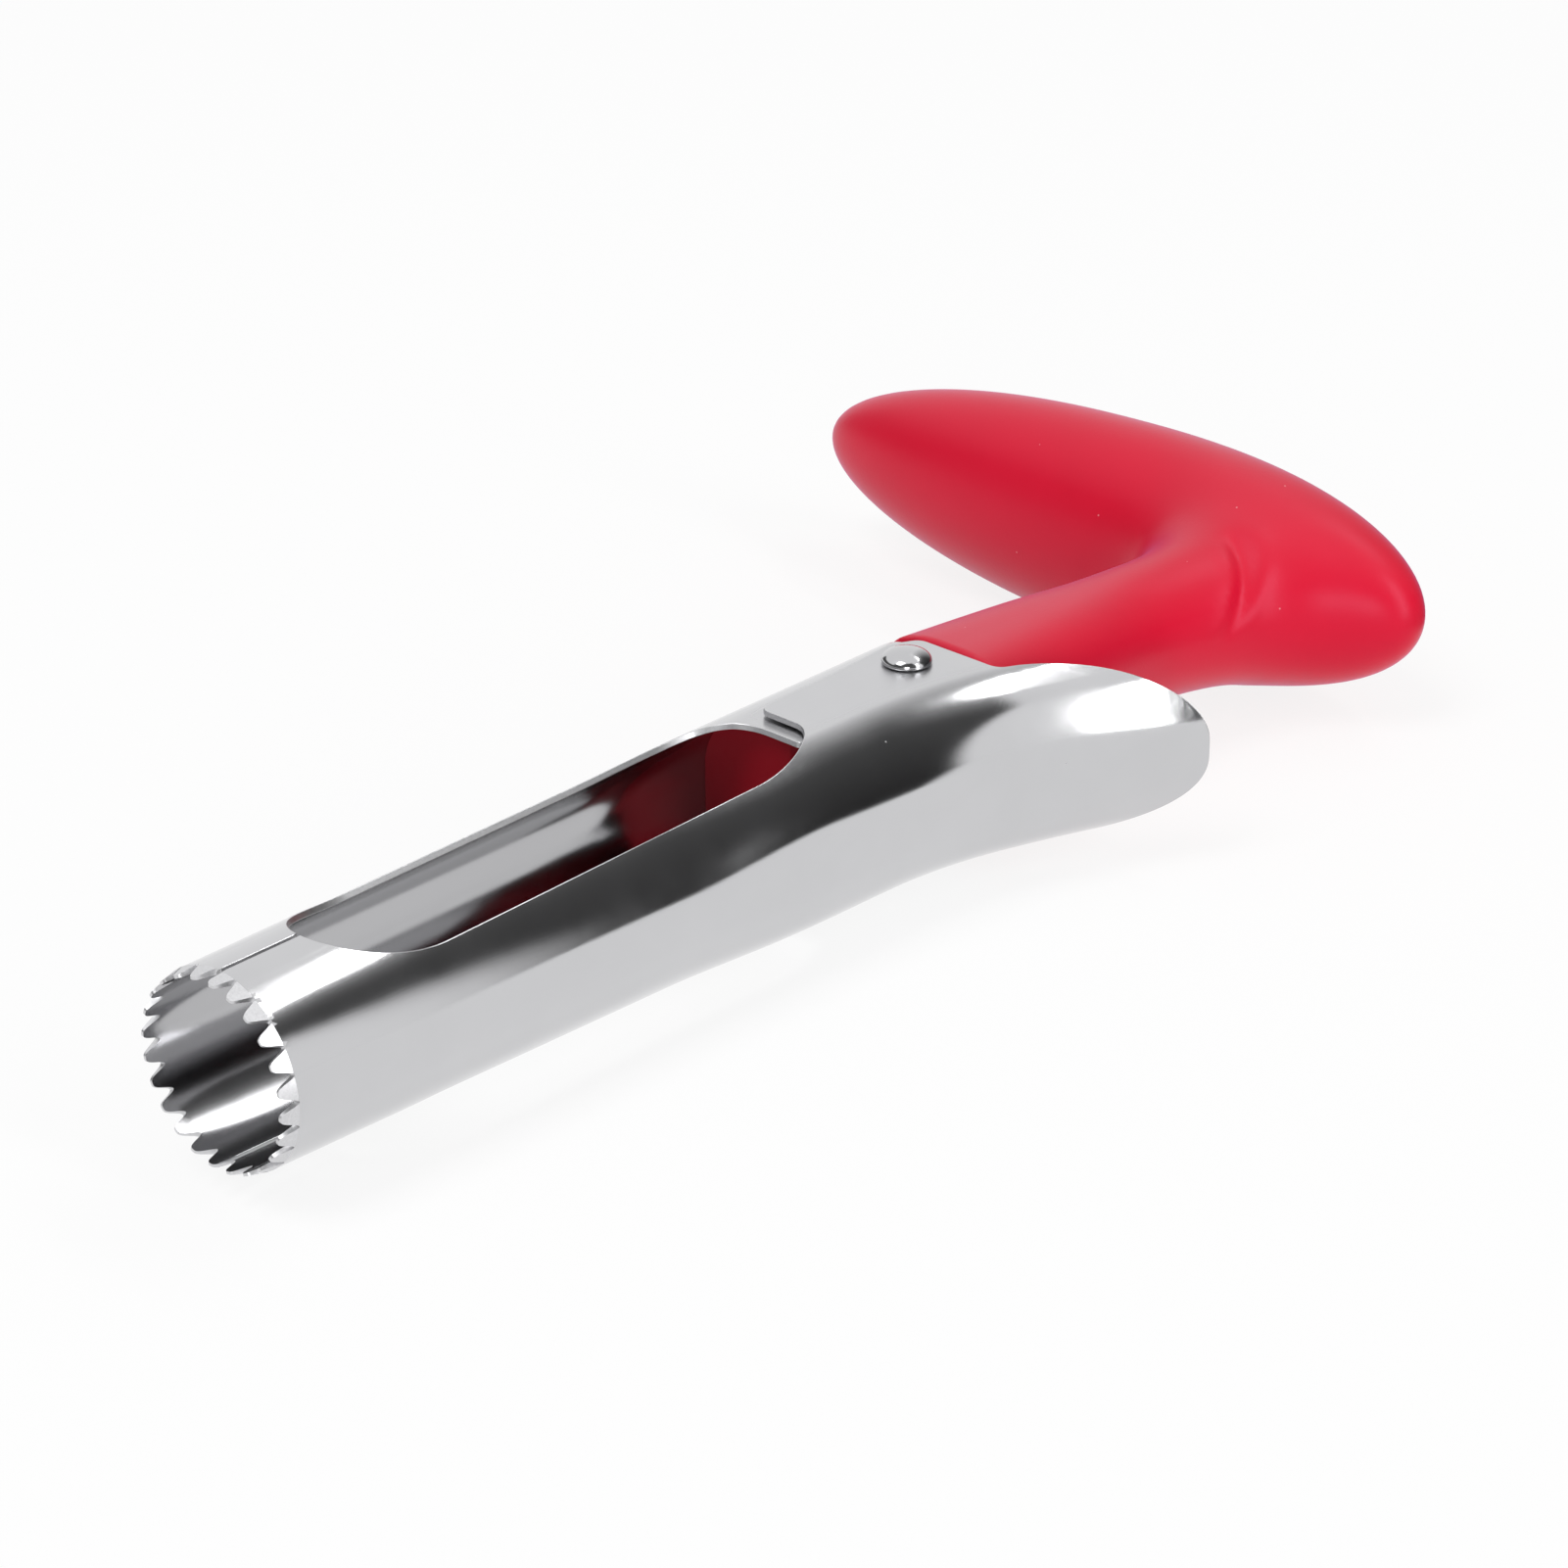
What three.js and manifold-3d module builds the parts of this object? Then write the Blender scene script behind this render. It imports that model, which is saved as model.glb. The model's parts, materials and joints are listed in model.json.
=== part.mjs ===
// Apple corer with a hinged barrel, in millimetres.
// The barrel lies along +Y with its teeth at the low end, the handle's crossbar runs along X,
// and the rivet that hinges the two half shells stands along Z.

import * as THREE from 'three';
import { mergeVertices } from 'three/addons/utils/BufferGeometryUtils.js';
import Module from 'manifold-3d';

const wasm = await Module();
wasm.setup();

// Clearances
const clearance = 0.3; // between pieces that lie beside each other
const runningFit = 0.1; // radial play of the rivet in its holes
const rivetPlay = 0.15; // under the rivet heads, so that the jaw can swing

// Barrel: two half shells pressed from sheet steel
const sheet = 0.8;
const tipRadius = 12; // outside radius at the teeth
const taper = 0.016; // growth of the radius per millimetre towards the handle
const pivotY = 112; // from the tooth tips to the rivet
const seamGap = 0.5; // between the shells along the barrel

// Teeth
const teeth = 24; // round both shells
const toothDepth = 2.3;
const toothOffset = THREE.MathUtils.degToRad(-2.7); // of a gullet's middle from the seam
const gulletNarrowing = 1.8; // 1 gives an even wave, more gives fuller teeth and narrower gaps
const bevelLength = 2.45; // ground outside bevel behind the tooth tips
const tipEdge = 0.15; // steel left at the sharp edge

// Window through each side of the barrel, shared by the two shells
const windowFront = 13.3;
const windowHalfWidth = 8.4;
const windowRound = 14; // length of its rounded ends
const windowStraightEnd = 77; // where the rear rounding begins

// Ears: the flat ends of the shells, laid over each other on the stem
const earPress = 0.83; // how far the ears are pressed in from the round barrel
const pressLength = 25; // over which the round barrel turns into the flat-topped one
const pressMargin = 1; // from there to the fixed ear's front edge
const earFlank = 2.4; // half height of the straight flanks below the rounded corners
const earGap = 0.3; // between the jaw's ears and the fixed shell's
const fixedEarFront = 87.5;
const jawEarFront = 89.7;
const jawEarReach = 5.3; // past the barrel's middle plane
const jawEarNarrowing = 1.3; // how much less it reaches at its front edge
const jawEarRound = 1.4; // its rounded front corner
const earRearMargin = 6.5; // steel behind the rivet's axis
const earCorner = 3.5; // length of the clipped corner

// Thumb lever: the jaw flares out behind the rivet and is cut off on a slant
const flareStart = 98.6;
const flareBend = 27.3; // length of the main bend
const flareSlope = 0.419; // sideways run per millimetre of length at its end
const tailBend = 104; // radius of the gentler bend behind the main one
const leverLength = 23; // room behind the ears
const leverRoot = 8.7; // where the slanting edge leaves the ear's rear edge
const leverSlant = 0.9; // sideways run of that edge per millimetre of length
const leverBow = 2.95; // by which the edge bulges out halfway along
const leverFlank = 1.05; // half height of the straight flank, rounder here than at the ears
const leverRoundRun = 20; // length over which it rounds off

// Rivet
const shankRadius = 2;
const pinRadius = 1.1;
const headRadius = 3.15;
const headHeight = 1.75;
const headEdge = 0.25; // straight side of the head below its dome
const pinReach = 17; // how far the pin goes up the hollow post

// Handle stem, from the ears to the crossbar
const coreSetback = 1.8; // the stem's end face lies behind the fixed ear's front edge
const noseEdge = 1.7; // that face ends here on the jaw's side
const noseSlant = 8; // length of the slanting face from there to the flank
const jawFlank = 9.2; // the stem's flank on the jaw's side
const gripStart = 2.5; // behind the ears
const gripUnderEar = 0.5; // the grip's top lies below the jaw's ears by this much
const waistY = 158; // the slimmest place of the stem
const waistCentre = -3.2; // the stem leans away from the lever there
const waistHalfWidth = 9;
const waistHalfHeight = 9.3;
const rootY = 171; // where the stem begins to spread into the crossbar
const rootCentre = -1.8;
const rootHalfWidth = 9.8;
const rootHalfHeight = 9.9;
const rootSpread = 6; // how much wider the stem is where it enters the crossbar
const rootRise = 1.5; // and how much higher
const frontSquareness = 3.2; // of the oval section: 2 is an ellipse, more is squarer
const waistSquareness = 2.1;
const rootSquareness = 2;
const gripWall = 2.6; // soft skin over the rigid core

// Crossbar: an egg-shaped bar, set off to the side away from the lever
const crossbarY = 188.9;
const crossbarCentre = -30;
const crossbarHalfLength = 52.4;
const crossbarHalfDepth = 12.2; // along Y
const crossbarHalfHeight = 15.4; // along Z
const crossbarEgg = 0.142; // how much fatter the near end is than the middle
const crossbarFullness = 2.3; // 2 gives an ellipse, more gives blunter ends

// Return spring: a torsion coil round the rivet, inside a slot in the stem
const wireRadius = 0.4;
const coilRadius = 3;
const coilPitch = 1.35;
const coilTurns = 3; // whole turns, besides the part turn between the legs
const pressLegAngle = THREE.MathUtils.degToRad(35); // of the leg that presses on the jaw
const anchorLeg = 6; // length of the leg held in the stem
const slotMargin = 0.9; // room round the spring in its slot
const legSlack = THREE.MathUtils.degToRad(3.5); // room ahead of the pressing leg
const jawSwing = THREE.MathUtils.degToRad(14); // how far the jaw opens

// Faceting
const cornerSides = 16; // in a quarter of the barrel's section
const smallSides = 24;
const curveSteps = 8;
const pressSteps = 6;
const flareSteps = 7;
const tailSteps = 3;
const gulletSteps = 8;
const stemSides = 32;
const crossbarSides = 28;
const crossbarSteps = 18;
const beyond = 5; // how far a cut runs past the piece it cuts
const samePoint = 1e-4; // corners closer than this are one

// Places that follow from the sizes above
const radiusAt = (y) => tipRadius + taper * y;
const jawEarFace = radiusAt(jawEarFront) - earPress;
const fixedEarFace = jawEarFace - sheet - earGap;
const earRear = pivotY + earRearMargin;
const pressEnd = fixedEarFront - pressMargin;
const jawCorner = jawEarFace - earFlank;
const cornerRun = Math.sqrt((jawCorner - sheet) ** 2 - (fixedEarFace - earFlank) ** 2);
const fixedEarReach = radiusAt(fixedEarFront) - jawCorner + cornerRun - clearance;
const coreFront = fixedEarFront + coreSetback;
const gripFront = earRear + gripStart;
const gripFlank = radiusAt(earRear) - sheet;
const gripHalfHeight = jawEarFace - sheet - gripUnderEar;
const flareEnd = flareStart + flareBend;
const leverEnd = earRear + leverLength;
const outside = tipRadius + crossbarHalfLength + leverEnd;

// A closed three.js geometry as a solid that can be joined and cut
function solid(geometry) {
  const bare = geometry.clone();
  bare.deleteAttribute('normal');
  bare.deleteAttribute('uv');
  const merged = mergeVertices(bare, samePoint);
  const points = merged.attributes.position.array;
  const corners = [];
  for (let i = 0; i < merged.index.count; i += 3) {
    const [a, b, c] = [0, 1, 2].map((k) => merged.index.getX(i + k));
    if (a !== b && b !== c && c !== a) corners.push(a, b, c);
  }
  const turned = enclosedVolume(points, corners) < 0 ? corners.reverse() : corners;
  return new wasm.Manifold(new wasm.Mesh({
    numProp: 3,
    vertProperties: new Float32Array(points),
    triVerts: new Uint32Array(turned),
  }));
}

function enclosedVolume(points, corners) {
  const [a, b, c] = [new THREE.Vector3(), new THREE.Vector3(), new THREE.Vector3()];
  let sum = 0;
  for (let i = 0; i < corners.length; i += 3) {
    a.fromArray(points, corners[i] * 3);
    b.fromArray(points, corners[i + 1] * 3);
    c.fromArray(points, corners[i + 2] * 3);
    sum += a.dot(b.cross(c)) / 6;
  }
  return sum;
}

function piece(name, body, material) {
  const cut = body.getMesh();
  const geometry = new THREE.BufferGeometry();
  geometry.setAttribute('position', new THREE.BufferAttribute(cut.vertProperties, 3));
  geometry.setIndex(new THREE.BufferAttribute(cut.triVerts, 1));
  geometry.computeVertexNormals();
  const mesh = new THREE.Mesh(geometry, material);
  mesh.name = name;
  return mesh;
}

// Solid of revolution about the rivet's axis, from points of radius and height
function turnedOnRivet(profile, sides) {
  const geometry = new THREE.LatheGeometry(profile.map(([r, z]) => new THREE.Vector2(r, z)), sides);
  geometry.rotateX(Math.PI / 2);
  geometry.translate(0, pivotY, 0);
  return solid(geometry);
}

// Outline seen from above, raised from one height to another
function raised(shape, low, high) {
  const geometry = new THREE.ExtrudeGeometry(shape, {
    depth: high - low,
    bevelEnabled: false,
    curveSegments: curveSteps,
  });
  geometry.translate(0, 0, low);
  return solid(geometry);
}

function outline(points) {
  return new THREE.Shape(points.map(([x, y]) => new THREE.Vector2(x, y)));
}

function rectangle(left, right, front, rear) {
  return outline([[left, front], [right, front], [right, rear], [left, rear]]);
}

// Rings of points with the same count, skinned into one closed solid
function skinned(rings) {
  const count = rings[0].length;
  const points = rings.flat();
  const faces = [];
  for (let i = 0; i + 1 < rings.length; i++) {
    for (let k = 0; k < count; k++) {
      const [a, b] = [i * count + k, i * count + (k + 1) % count];
      faces.push(a, b, a + count, b, b + count, a + count);
    }
  }
  const middle = (ring) => ring.reduce((sum, p) => sum.add(p), new THREE.Vector3()).divideScalar(count);
  points.push(middle(rings[0]), middle(rings[rings.length - 1]));
  for (let k = 0; k < count; k++) {
    const next = (k + 1) % count;
    const last = (rings.length - 1) * count;
    faces.push(next, k, points.length - 2, last + k, last + next, points.length - 1);
  }
  const geometry = new THREE.BufferGeometry().setFromPoints(points);
  geometry.setIndex(faces);
  return solid(geometry);
}

// Barrel sheet
// The outside of the barrel with its ground bevel. The jaw's also flares out behind the rivet.
function flare(y) {
  const run = Math.max(0, y - flareStart);
  const curved = Math.min(run, flareBend);
  const tail = run - curved;
  return flareSlope * (curved * curved / (2 * flareBend) + tail) + tail * tail / (2 * tailBend);
}

// Section across the barrel: a circle in front, and a flat-topped one with rounded corners at the ears
function barrelRing(y, place, inset, face, flared) {
  const round = radiusAt(y);
  const press = THREE.MathUtils.smoothstep(y, pressEnd - pressLength, pressEnd);
  const swell = flared ? THREE.MathUtils.smoothstep(y, earRear, earRear + leverRoundRun) : 0;
  const flank = THREE.MathUtils.lerp(earFlank, leverFlank, swell);
  const halfWidth = round + (flared ? flare(y) : 0) - inset;
  const halfHeight = THREE.MathUtils.lerp(round, face, press) - inset;
  const corner = THREE.MathUtils.lerp(round, face - flank, press) - inset;
  const ring = [];
  for (let quarter = 0; quarter < 4; quarter++) {
    const side = quarter === 0 || quarter === 3 ? 1 : -1;
    const level = quarter < 2 ? 1 : -1;
    for (let k = 0; k <= cornerSides; k++) {
      const turn = Math.PI / 2 * (quarter + k / cornerSides);
      const x = side * (halfWidth - corner) + corner * Math.cos(turn);
      const z = level * (halfHeight - corner) + corner * Math.sin(turn);
      ring.push(new THREE.Vector3(x, place, z));
    }
  }
  return ring;
}

// The barrel's outside with its ground bevel, or the space inside it
function barrelBody(inset, end, face, flared) {
  const rings = inset
    ? [barrelRing(0, -beyond, inset, face, flared), barrelRing(0, 0, inset, face, flared)]
    : [barrelRing(0, 0, sheet - tipEdge, face, flared)];
  const stops = [bevelLength];
  for (let i = 0; i <= pressSteps; i++) stops.push(pressEnd - pressLength * (1 - i / pressSteps));
  if (flared) {
    for (let i = 0; i < flareSteps; i++) stops.push(flareStart + flareBend * i / flareSteps);
    for (let i = 0; i < tailSteps; i++) stops.push(flareEnd + (leverEnd - flareEnd) * i / tailSteps);
  }
  stops.push(end);
  for (const y of stops) rings.push(barrelRing(y, y, inset, face, flared));
  return skinned(rings);
}

function sheetBarrel(end, face, flared) {
  return barrelBody(0, end, face, flared).subtract(barrelBody(sheet, end + beyond, face, flared));
}

function windowCut(earFront) {
  const frontCentre = windowFront + windowRound;
  const reach = (earFront - windowStraightEnd) / windowRound;
  const stop = Math.asin(Math.min(1, Math.max(0, reach)));
  const shape = new THREE.Shape();
  shape.absellipse(0, frontCentre, windowHalfWidth, windowRound, Math.PI, 2 * Math.PI);
  shape.absellipse(0, windowStraightEnd, windowHalfWidth, windowRound, 0, stop);
  shape.absellipse(0, windowStraightEnd, windowHalfWidth, windowRound, Math.PI - stop, Math.PI);
  return raised(shape, -outside, outside);
}

// Rounded gaps between the teeth, all round the rim
function gullets() {
  const pitch = 2 * Math.PI / teeth;
  const halfWidth = tipRadius * Math.tan(pitch / 2);
  const wave = [[-halfWidth, -beyond]];
  for (let i = 0; i <= gulletSteps; i++) {
    const u = 2 * i / gulletSteps - 1;
    wave.push([halfWidth * u, toothDepth * ((1 + Math.cos(Math.PI * u)) / 2) ** gulletNarrowing]);
  }
  wave.push([halfWidth, -beyond]);
  const cutter = new THREE.ExtrudeGeometry(outline(wave), { depth: tipRadius, bevelEnabled: false });
  cutter.translate(0, 0, tipRadius / 2);
  const gaps = [];
  for (let i = 0; i < teeth; i++) gaps.push(solid(cutter.clone().rotateY(toothOffset + pitch * i)));
  return wasm.Manifold.union(gaps);
}

function rivetHole(radius) {
  return turnedOnRivet([[0, -outside], [radius, -outside], [radius, outside], [0, outside]], smallSides);
}

// Fixed half shell: the side away from the lever, clasping the stem
function fixedShell(material) {
  const keep = outline([
    [-outside, -beyond], [-seamGap / 2, -beyond], [-seamGap / 2, fixedEarFront],
    [fixedEarReach, fixedEarFront], [fixedEarReach, earRear], [-outside, earRear],
  ]);
  const body = sheetBarrel(earRear, fixedEarFace, false)
    .intersect(raised(keep, -outside, outside))
    .subtract(windowCut(fixedEarFront))
    .subtract(gullets())
    .subtract(rivetHole(shankRadius + runningFit));
  return piece('fixed_shell', body, material);
}

// Swinging half shell with its ears over the fixed shell's, drawn out into the thumb lever
function movingJaw(material) {
  const jawEarFrontReach = jawEarReach - jawEarNarrowing;
  const slant = [];
  for (let i = curveSteps; i >= 0; i--) {
    const u = i / curveSteps;
    const bow = 4 * leverBow * u * (1 - u);
    slant.push([leverRoot + leverSlant * leverLength * u - bow, earRear + leverLength * u]);
  }
  const keep = outline([
    [seamGap / 2, -beyond], [outside, -beyond], [outside, leverEnd], ...slant,
    [earCorner / 2 - jawEarReach, earRear], [-jawEarReach, earRear - earCorner],
    [-jawEarFrontReach, jawEarFront + jawEarRound], [jawEarRound - jawEarFrontReach, jawEarFront],
    [seamGap / 2, jawEarFront],
  ]);
  const body = sheetBarrel(leverEnd, jawEarFace, true)
    .intersect(raised(keep, -outside, outside))
    .subtract(windowCut(jawEarFront))
    .subtract(gullets())
    .subtract(rivetHole(shankRadius + runningFit));
  return piece('moving_jaw', body, material);
}

// Rivet
// A domed head whose underside is at the given height, as points from the rim to the crown
function headProfile(seat) {
  const profile = [[headRadius, seat], [headRadius, seat + headEdge]];
  for (let i = 1; i <= curveSteps; i++) {
    const turn = Math.PI / 2 * i / curveSteps;
    profile.push([headRadius * Math.cos(turn), seat + headEdge + (headHeight - headEdge) * Math.sin(turn)]);
  }
  profile[profile.length - 1][0] = 0;
  return profile;
}

const headSeat = jawEarFace + rivetPlay;
const postEnd = -headSeat + clearance;
const pinTip = -headSeat + pinReach;

// Hollow post: the upper head with a blind hole up its shank
function rivetPost(material) {
  const hole = pinRadius + runningFit;
  const holeEnd = pinTip + clearance;
  const body = turnedOnRivet([
    [0, holeEnd], [hole, holeEnd], [hole, postEnd], [shankRadius, postEnd],
    [shankRadius, headSeat], ...headProfile(headSeat),
  ], smallSides);
  return piece('rivet_post', body, material);
}

// Solid pin: the lower head, driven up into the post
function rivetPin(material) {
  const body = turnedOnRivet([
    [0, pinTip], [pinRadius, pinTip], [pinRadius, -headSeat],
    ...headProfile(headSeat).map(([r, z]) => [r, -z]),
  ], smallSides);
  return piece('rivet_pin', body, material);
}

// Handle
// An oval across the stem at one place along it
function stemRing(y, centre, halfWidth, halfHeight, squareness, inset) {
  const ring = [];
  for (let k = 0; k < stemSides; k++) {
    const turn = 2 * Math.PI * k / stemSides;
    const [c, s] = [Math.cos(turn), Math.sin(turn)];
    const x = Math.sign(c) * Math.abs(c) ** (2 / squareness) * (halfWidth - inset);
    const z = Math.sign(s) * Math.abs(s) ** (2 / squareness) * (halfHeight - inset);
    ring.push(new THREE.Vector3(centre + x, y, z));
  }
  return ring;
}

// The stem from a little ahead of the grip's front edge to its root in the crossbar
function stem(lead, inset) {
  const front = [(jawFlank - gripFlank) / 2, (jawFlank + gripFlank) / 2, gripHalfHeight, frontSquareness];
  const waist = [waistCentre, waistHalfWidth, waistHalfHeight, waistSquareness];
  const between = front.map((value, i) => (value + waist[i]) / 2);
  const root = [rootHalfWidth, rootHalfHeight, rootSquareness];
  const end = [rootHalfWidth + rootSpread, rootHalfHeight + rootRise, rootSquareness];
  const halfway = root.map((value, i) => (value + end[i]) / 2);
  const stations = [
    [gripFront - lead, ...front],
    [gripFront, ...front],
    [(gripFront + waistY) / 2, ...between],
    [waistY, ...waist],
    [rootY, rootCentre, ...root],
    [(rootY + crossbarY) / 2, rootCentre, ...halfway],
    [crossbarY, rootCentre, ...end],
  ];
  return skinned(stations.map((station) => stemRing(...station, inset)));
}

// The crossbar as a turned egg, flattened from front to back
function crossbar(inset) {
  const profile = [];
  for (let i = 0; i <= crossbarSteps; i++) {
    const u = Math.sin(Math.PI * (i / crossbarSteps - 0.5));
    const fullness = Math.sqrt(Math.max(0, 1 - Math.abs(u) ** crossbarFullness));
    profile.push(new THREE.Vector2(fullness * (1 + crossbarEgg * u), u * (crossbarHalfLength - inset)));
  }
  profile[0].x = 0;
  profile[crossbarSteps].x = 0;
  const geometry = new THREE.LatheGeometry(profile, crossbarSides);
  geometry.rotateZ(-Math.PI / 2);
  geometry.scale(1, crossbarHalfDepth - inset, crossbarHalfHeight - inset);
  geometry.translate(crossbarCentre, crossbarY, 0);
  return solid(geometry);
}

// Slot through the jaw's side of the stem for the spring and the swing of its pressing leg
function springSlot() {
  const halfHeight = coilPitch * (coilTurns + 1) / 2 + wireRadius + slotMargin;
  const halfWidth = coilRadius + wireRadius + slotMargin;
  const legWidth = wireRadius + slotMargin;
  const round = new THREE.Shape();
  round.absarc(0, pivotY, halfWidth, 0, 2 * Math.PI);
  const legEnd = pivotY + anchorLeg + slotMargin;
  const anchor = rectangle(-coilRadius - legWidth, -coilRadius + legWidth, pivotY, legEnd);
  const far = jawFlank + beyond;
  const low = pressLegAngle - legSlack;
  const high = pressLegAngle + jawSwing;
  const swing = outline([
    [0, pivotY - halfWidth], [far, pivotY - halfWidth + far * Math.tan(low)],
    [far, pivotY + far * Math.tan(high)], [0, pivotY],
  ]);
  return raised(round, -halfHeight, halfHeight)
    .add(raised(anchor, -halfHeight, halfHeight))
    .add(raised(swing, -halfHeight, halfHeight));
}

// Rigid core: the block between the ears, with a tang through the stem into the crossbar
function handleCore(material) {
  const room = sheet + clearance;
  const ends = [coreFront, gripFront].map((y) => barrelRing(coreFront, y, room, fixedEarFace, false));
  const plan = outline([
    [-outside, coreFront - beyond], [noseEdge, coreFront - beyond], [noseEdge, coreFront],
    [jawFlank, coreFront + noseSlant], [jawFlank, gripFront + beyond], [-outside, gripFront + beyond],
  ]);
  const block = skinned(ends).intersect(raised(plan, -outside, outside));
  const tang = stem(clearance, gripWall).add(crossbar(gripWall));
  const body = block.add(tang)
    .subtract(springSlot())
    .subtract(rivetHole(shankRadius + runningFit));
  return piece('handle_core', body, material);
}

// Soft grip moulded over the core, from behind the ears to the ends of the crossbar
function handleGrip(material) {
  const hollow = gripWall - clearance;
  const inside = stem(beyond, hollow).add(crossbar(hollow));
  const rear = rectangle(-outside, outside, gripFront + clearance, 2 * outside);
  const body = stem(clearance, 0).add(crossbar(0))
    .intersect(raised(rear, -outside, outside))
    .subtract(inside)
    .subtract(springSlot());
  return piece('handle_grip', body, material);
}

// Return spring
// Points along the wire: the leg held in the stem, the coil, and the leg that presses on the jaw
function springPath() {
  const stepsPerTurn = 8;
  const startTurn = Math.PI;
  const leaveTurn = 1.5 * Math.PI + pressLegAngle; // where the coil runs along the pressing leg
  const endTurn = 2 * Math.PI * coilTurns + leaveTurn;
  const sweep = endTurn - startTurn;
  const rise = coilPitch * sweep / (2 * Math.PI);
  const path = [new THREE.Vector3(-coilRadius, pivotY + anchorLeg, -rise / 2)];
  const steps = Math.ceil(sweep / (2 * Math.PI) * stepsPerTurn);
  for (let i = 0; i <= steps; i++) {
    const turn = startTurn + sweep * i / steps;
    path.push(new THREE.Vector3(
      coilRadius * Math.cos(turn),
      pivotY + coilRadius * Math.sin(turn),
      rise * (i / steps - 0.5),
    ));
  }
  const leave = path[path.length - 1];
  const end = new THREE.Vector3(tipRadius, pivotY, rise / 2);
  for (let i = 0; i < curveSteps; i++) {
    end.y = leave.y + (end.x - leave.x) * Math.tan(pressLegAngle);
    end.x = radiusAt(end.y) + flare(end.y) - sheet - clearance - 2 * wireRadius;
  }
  path.push(end);
  return path;
}

function leastGap(path) {
  const apart = 5; // points closer along the wire than this are neighbours
  let least = Infinity;
  for (let i = 0; i < path.length; i++) {
    for (let k = i + apart; k < path.length; k++) least = Math.min(least, path[i].distanceTo(path[k]));
  }
  return least - 2 * wireRadius;
}

function returnSpring(material) {
  const sides = 5;
  const path = springPath();
  console.log(`return spring: least gap between turns ${leastGap(path).toFixed(2)} mm`);
  const rings = path.map((p, i) => {
    const ahead = path[Math.min(i + 1, path.length - 1)].clone().sub(path[Math.max(i - 1, 0)]).normalize();
    const across = new THREE.Vector3(0, 0, 1).cross(ahead).normalize();
    const up = ahead.clone().cross(across);
    return Array.from({ length: sides }, (_, k) => {
      const turn = 2 * Math.PI * k / sides;
      return p.clone()
        .addScaledVector(across, wireRadius * Math.cos(turn))
        .addScaledVector(up, wireRadius * Math.sin(turn));
    });
  });
  return piece('return_spring', skinned(rings), material);
}

const polishedSteel = new THREE.MeshStandardMaterial({ color: 0xc9cacc, roughness: 0.12, metalness: 1 });
const springSteel = new THREE.MeshStandardMaterial({ color: 0x9a9ca0, roughness: 0.3, metalness: 1 });
const redCore = new THREE.MeshStandardMaterial({ color: 0xa3142a, roughness: 0.5, metalness: 0 });
const redGrip = new THREE.MeshStandardMaterial({ color: 0xcf1a35, roughness: 0.42, metalness: 0 });

// The handle carries the fixed shell and the rivet, and the jaw swings on the rivet
const handle = new THREE.Group();
handle.add(handleCore(redCore), handleGrip(redGrip));
const hinge = new THREE.Group();
hinge.add(rivetPost(polishedSteel), rivetPin(polishedSteel), returnSpring(springSteel));
const barrel = new THREE.Group();
barrel.add(fixedShell(polishedSteel), movingJaw(polishedSteel));

const assembly = new THREE.Group();
assembly.add(handle, hinge, barrel);

// The part stands on its lowest point, with the middle of its box over the origin
const extent = new THREE.Box3().setFromObject(assembly);
const middle = extent.getCenter(new THREE.Vector3());
assembly.position.set(-middle.x, -middle.y, -extent.min.z);

const corer = new THREE.Group();
corer.add(assembly);

export default corer;
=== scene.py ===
import json
import math

import bmesh
import bpy
import numpy as np
from mathutils import Matrix, Vector, geometry


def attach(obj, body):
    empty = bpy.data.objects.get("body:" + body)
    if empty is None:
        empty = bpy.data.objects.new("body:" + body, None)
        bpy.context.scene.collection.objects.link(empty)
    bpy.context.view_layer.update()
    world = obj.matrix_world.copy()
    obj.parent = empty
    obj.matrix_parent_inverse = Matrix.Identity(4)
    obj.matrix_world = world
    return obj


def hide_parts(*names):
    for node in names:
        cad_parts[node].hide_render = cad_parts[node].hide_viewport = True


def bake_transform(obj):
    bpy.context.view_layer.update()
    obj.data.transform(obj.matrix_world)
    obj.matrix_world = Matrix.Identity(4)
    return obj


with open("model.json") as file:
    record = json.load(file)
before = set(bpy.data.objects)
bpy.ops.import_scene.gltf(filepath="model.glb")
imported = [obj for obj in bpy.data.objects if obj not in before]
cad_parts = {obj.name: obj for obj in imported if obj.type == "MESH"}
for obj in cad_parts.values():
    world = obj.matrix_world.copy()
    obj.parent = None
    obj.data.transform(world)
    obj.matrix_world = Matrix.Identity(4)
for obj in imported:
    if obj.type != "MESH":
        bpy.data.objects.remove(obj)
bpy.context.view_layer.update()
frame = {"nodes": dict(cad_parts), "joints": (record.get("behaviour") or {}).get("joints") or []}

# Handle core: a rigid block of red ABS, injection moulded with a satin skin. Its flat nose fills the
# rear of the barrel between the ears, and its tang runs on inside the grip. The rivet passes through it.
hinge_place = 112  # mm from the tooth tips
hinge = Vector(frame["joints"][0]["pos_m"])
tooth_plane = hinge - Vector((0, hinge_place / 1000, 0))  # on the barrel's axis, level with the tooth tips
nose_rear = tooth_plane.y + 0.121
nose_rise, nose_spread = 1.0288, 1.0243  # the nose is a push fit in the fixed shell


def linear(code):
    """An sRGB hex colour as linear red, green, blue and alpha."""
    channels = [int(code[i:i + 2], 16) / 255 for i in (0, 2, 4)]
    return [c / 12.92 if c <= 0.04045 else ((c + 0.055) / 1.055) ** 2.4 for c in channels] + [1]


def add(tree, kind, values=None, links=None, **settings):
    """A node with its settings, its socket values and the sockets that feed it."""
    node = tree.nodes.new(kind)
    for key, value in settings.items():
        setattr(node, key, value)
    for key, value in (values or {}).items():
        node.inputs[key].default_value = value
    for key, socket in (links or {}).items():
        tree.links.new(socket, node.inputs[key])
    return node


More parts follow.
